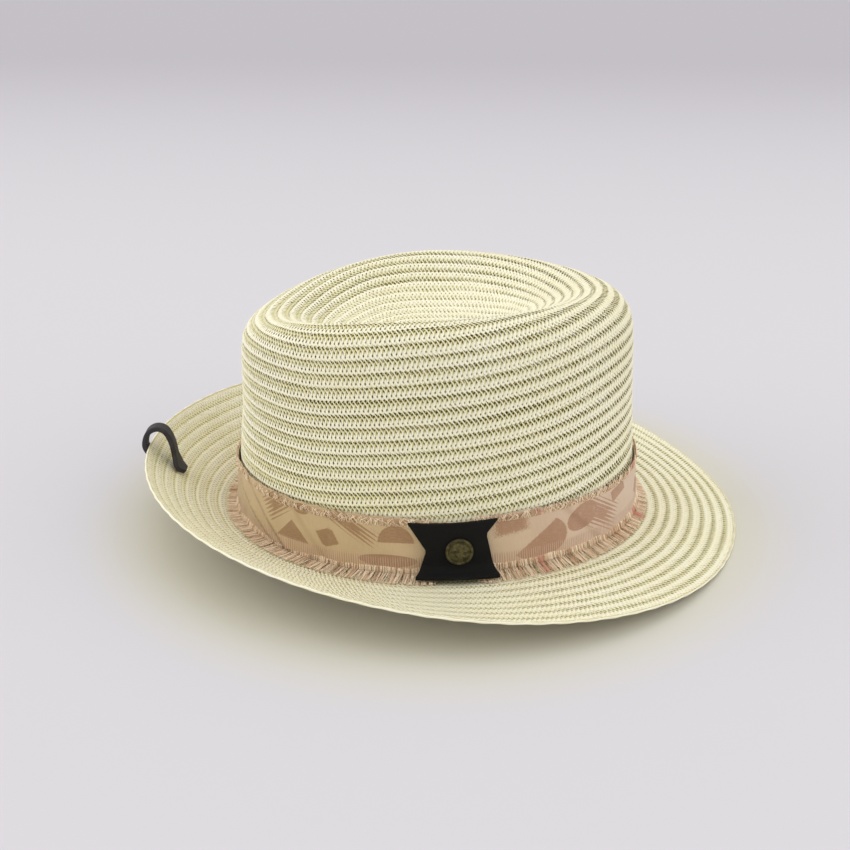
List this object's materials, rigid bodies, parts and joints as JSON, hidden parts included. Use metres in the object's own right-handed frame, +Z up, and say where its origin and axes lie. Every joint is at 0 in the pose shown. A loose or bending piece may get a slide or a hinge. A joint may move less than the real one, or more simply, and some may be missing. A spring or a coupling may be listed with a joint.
{
  "type": "straw trilby hat",
  "caption": "Sewn straw trilby with a teardrop crown, snapped front brim, cloth band with fringe, leather tab with stud, and a keeper loop.",
  "frame": {"origin": "middle of the base of the hat's box, on the surface that it stands on", "axes": "+Z up, -Y towards the wearer's front, -X towards the wearer's right, where the tab is"},
  "size_m": [0.2876, 0.3026, 0.1195],
  "materials": {
    "straw": "sewn paper-straw braid, matt with a faint sheen",
    "band_cloth": "woven jacquard cloth, matt",
    "fringe_yarn": "combed yarn ends, matt",
    "tab_leather": "black fine-grained leather",
    "stud_metal": "dark antique finish, satin",
    "loop_leather": "black flat leather cord"
  },
  "bodies": {
    "root": {"crown_tip": "straw", "crown_wall": "straw", "brim": "straw", "hat_band": "band_cloth", "band_fringe": "fringe_yarn", "band_tab": "tab_leather", "snap_cap": "stud_metal", "brim_loop": "loop_leather"}
  },
  "joints": []
}
